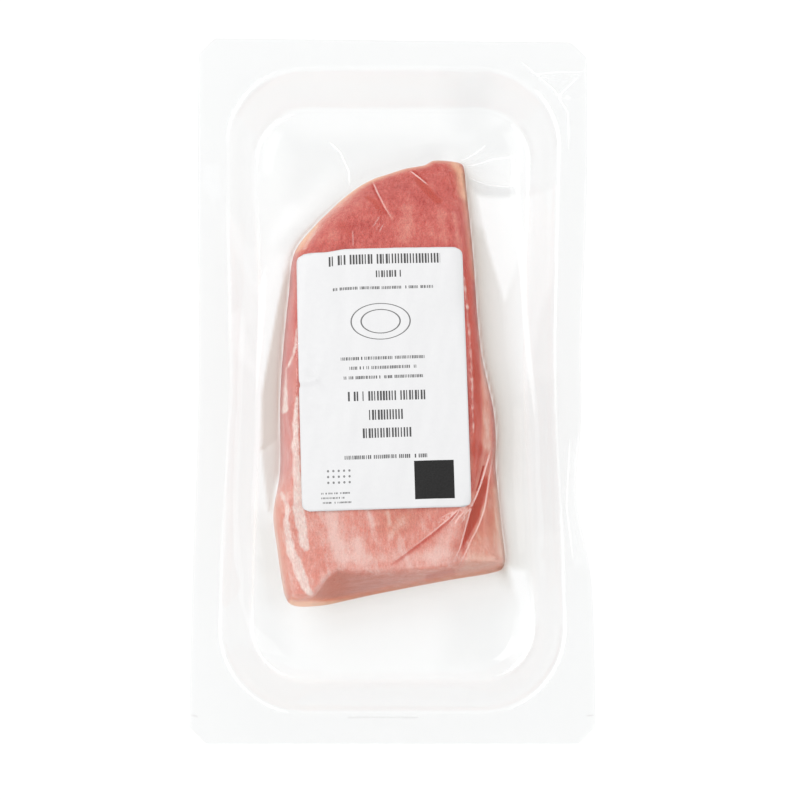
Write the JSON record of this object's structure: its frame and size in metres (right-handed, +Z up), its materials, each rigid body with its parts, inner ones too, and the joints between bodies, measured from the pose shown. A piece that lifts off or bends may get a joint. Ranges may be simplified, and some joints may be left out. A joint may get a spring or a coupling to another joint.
{
  "type": "vacuum-packed raw pork tenderloin",
  "caption": "Raw pork tenderloin sealed in a clear formed tray under a clear film, with a plain white paper label on top.",
  "frame": {"origin": "under the middle of the pack, on the surface it lies on", "axes": "+Z up, +Y along the pack towards the meat's thin end and the label's top edge, +X to the label's right"},
  "size_m": [0.167, 0.2999, 0.0401],
  "materials": {
    "clear_tray": "clear formed plastic sheet, glossy",
    "raw_meat": "moist raw pork, pink-red with cream fat, soft gloss",
    "clear_film": "thin clear film drawn tight, glossy with fine creases",
    "label_paper": "smooth white self-adhesive paper with plain grey and black shapes"
  },
  "bodies": {
    "root": {"tray": "clear_tray", "meat": "raw_meat", "film": "clear_film", "label": "label_paper"}
  },
  "joints": []
}
